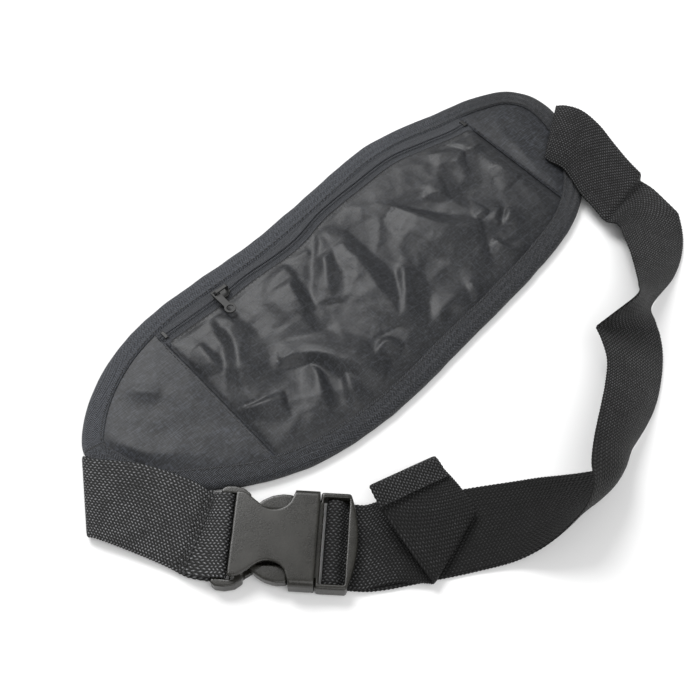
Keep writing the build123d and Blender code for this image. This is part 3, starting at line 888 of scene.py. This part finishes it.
def make_main_strap():
    """One length of webbing: sewn to the pouch, turned over once, through the plug and back as the tail."""
    f = 1.15              # height of webbing that lies on the floor
    stations = [
        # sewn end, and down past the pouch's right end
        ((160, 14, 6.0), (127, -7.5, 6.2), 0),
        ((161, 9.5, 9.0), (126.6, -11, 6.4), 0.6),
        ((162.5, -0.5, 12.0), (128, -19, 6.8), 1.2),
        ((161.8, -13.8, 11.8), (125, -28, 7.4), 1.5),
        ((159, -27.2, 10.0), (120.8, -38, 8.0), 1.0),
        ((157, -39.3, 8.0), (118.8, -47.5, 8.2), 0.5),
        ((155.2, -50, 7.6), (116, -57, 8.6), 0.0, 1),
        ((155.2, -50.6, 2.4), (117, -59.5, 7.6), 0.0, 1),
        ((157, -58, f), (119, -63, 8.4), 0.8),
        ((155.5, -69, f), (118.6, -65, 9.0), 0.6),
        ((154, -78, f), (117.6, -67.4, 10.0), 0.0, 1),
        # rises on one selvage
        ((147, -86, f), (113, -72.3, 12.5), 0.6),
        ((139, -93, f), (104.8, -83, 16), 1.4),
        ((129, -99, f), (95.4, -93.2, 19.5), 1.6),
        ((118, -103, f), (87.2, -100.6, 24), 1.0),
        ((97, -106.5, f), (75.4, -106.8, 32), 0.0),
        ((92.4, -113, f), (65.4, -103.9, 25), 0.0),
        ((88, -119.5, f), (57.3, -101.0, 18), 0.0, 1),
        # stands, and turns over
        ((82.5, -125.6, f), (54.3, -107.3, 17.6), 0.8),
        ((74.4, -132.4, f), (46.4, -117, 20), 1.5),
        ((61, -141, f), (34.5, -125.6, 22), 2.5),
        ((50, -146, f), (24.4, -131.6, 24), 3.5),
        ((31, -150.6, f), (6, -142.4, 27), 5.5),
        ((20, -151, f), (-5, -150, 30.5), 8.0),
        ((11, -148.5, f), (-11, -156, 32), 8.0),
        ((4, -144.5, f), (-18, -160, 29.5), 7.0),
        ((-4, -139, f), (-26, -161, 23.5), 5.0),
        ((-13, -132.5, f), (-38, -159, 13.5), 3.0),
        ((-23, -126, f), (-49, -154, 4.5), 1.0),
        # flat to the plug, and round its bar
        ((-40, -115, f), (-64, -145.5, 1.35), 0.0),
        ((-58, -104.5, f), (-83, -134.5, f), 0.0),
        buckle_pair(24.2, f, 1),
        buckle_pair(9.0, f, 1),
        buckle_pair(5.2, 1.3, 1),
        buckle_pair(3.7, 3.0, 1),
        buckle_pair(3.8, 5.2, 1),
        buckle_pair(5.2, 6.5, 1),
        buckle_pair(8.2, 6.5, 1),
        buckle_pair(9.7, 5.4, 1),
        buckle_pair(11.3, 3.2, 1),
        buckle_pair(14.5, 2.7, 1),
        buckle_pair(20.0, 2.7, 1),
        # the tail: folded aside, and hemmed
        ((-67.5, -96.5, 2.8), (-96, -124.5, 2.8), 0),
        ((-50.5, -120.5, 2.9), (-85, -135, 2.9), 0),
        ((-47.8, -124.6, 3.3), (-84.2, -136.2, 3.3), 0),
        ((-47, -125.8, 4.6), (-83.9, -136.6, 4.6), 0),
        ((-46.6, -124, 5.8), (-84, -135.2, 6.0), 0),
        ((-44.5, -113, 6.6), (-83, -121, 10.0), -0.8),
        ((-43.8, -100, 7.6), (-79.4, -96.5, 14.8), -0.6),
        ((-43.5, -97, 8.0), (-78, -91, 16.4), 0),
        ((-43.4, -95.8, 9.0), (-77.8, -89.6, 17.6), 0),
        ((-43.6, -97.2, 10.2), (-78.4, -91.2, 18.8), 0),
        ((-45.4, -106.6, 8.8), (-80.8, -99.6, 16.4), 0.6),
    ]
    piece, length = strap("webbing_main", stations, "webbing", None, ["main_strap", "strap_tail"])
    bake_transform(piece)
    row = np.array([[159, 12, 7.4], [129.5, -7, 7.6]])
    stitch_mesh("tack_right", [row], pitch=2.6, length=2.2, width=0.6, height=0.45,
                replaces=["right_bar_tack"])


# ================================================================ hard parts keep their CAD shape
def dress(nodes, material, voxel, rounding):
    """Hard parts keep their CAD solids: their edges are eased as a mould or a die leaves them."""
    for node in nodes:
        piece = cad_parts[node]
        piece.data.materials.clear()
        piece.data.materials.append(materials[material])
        skin = piece.modifiers.new("skin", "REMESH")
        skin.mode = "VOXEL"
        skin.voxel_size = voxel * MM
        skin.use_smooth_shade = True
        ease = piece.modifiers.new("ease", "SMOOTH")
        ease.factor = 0.5
        ease.iterations = rounding
        thin = piece.modifiers.new("thin", "DECIMATE")
        thin.ratio = 0.4


def dress_hard_parts():
    dress(("buckle_socket", "buckle_plug", "prong_upper", "prong_lower"), "buckle_plastic",
          voxel=0.32, rounding=9)
    dress(("zip_slider", "zip_pull_tab"), "slider_metal", voxel=0.1, rounding=4)
    dress(("zip_stop_left", "zip_stop_right"), "zip_coil", voxel=0.12, rounding=3)


# ================================================================ floor, light, camera
def make_floor():
    """A plain white floor; it belongs to the picture, not to the belt."""
    h = FLOOR_HALF
    mesh = bpy.data.meshes.new("floor")
    mesh.from_pydata([(-h, -h, 0), (h, -h, 0), (h, h, 0), (-h, h, 0)], [], [(0, 1, 2, 3)])
    floor = bpy.data.objects.new("floor", mesh)
    bpy.context.collection.objects.link(floor)
    paper = Material("paper")
    floor.data.materials.append(paper.finish(Base_Color=(0.9, 0.9, 0.9, 1), Roughness=0.9))


def add_area(name, right, far, up, size, power):
    """A round soft light that faces the belt; distances are in metres."""
    data = bpy.data.lights.new(name, "AREA")
    data.shape = "DISK"
    data.size = size
    data.energy = power
    lamp = bpy.data.objects.new(name, data)
    bpy.context.collection.objects.link(lamp)
    lamp.location = RIGHT * right + FAR * far + UP * up
    lamp.rotation_euler = (-Vector(lamp.location)).to_track_quat("-Z", "Y").to_euler()


def make_light():
    add_area("key", right=-0.8, far=1.3, up=1.7, size=1.4, power=46)
    add_area("fill", right=0.6, far=-1.0, up=1.7, size=2.0, power=22)
    world = bpy.data.worlds.new("studio")
    bpy.context.scene.world = world
    world.use_nodes = True
    background = world.node_tree.nodes["Background"]
    background.inputs["Color"].default_value = (1, 1, 1, 1)
    background.inputs["Strength"].default_value = 0.48
    bpy.context.scene.view_settings.view_transform = "Standard"


def make_camera():
    data = bpy.data.cameras.new("camera")
    data.sensor_width = SENSOR
    data.lens = SENSOR / 2 / math.tan(FIELD_OF_VIEW / 2)
    camera = bpy.data.objects.new("camera", data)
    bpy.context.collection.objects.link(camera)
    camera.location = CAMERA_PLACE
    camera.rotation_euler = (CAMERA_TARGET - CAMERA_PLACE).to_track_quat("-Z", "Y").to_euler()
    bpy.context.scene.camera = camera


# ================================================================ build
make_back()
make_pocket_panel()
make_end_panels()
make_binding()
make_zip()
make_seams()
make_left_strap()
make_main_strap()
dress_hard_parts()
make_floor()
make_light()
make_camera()
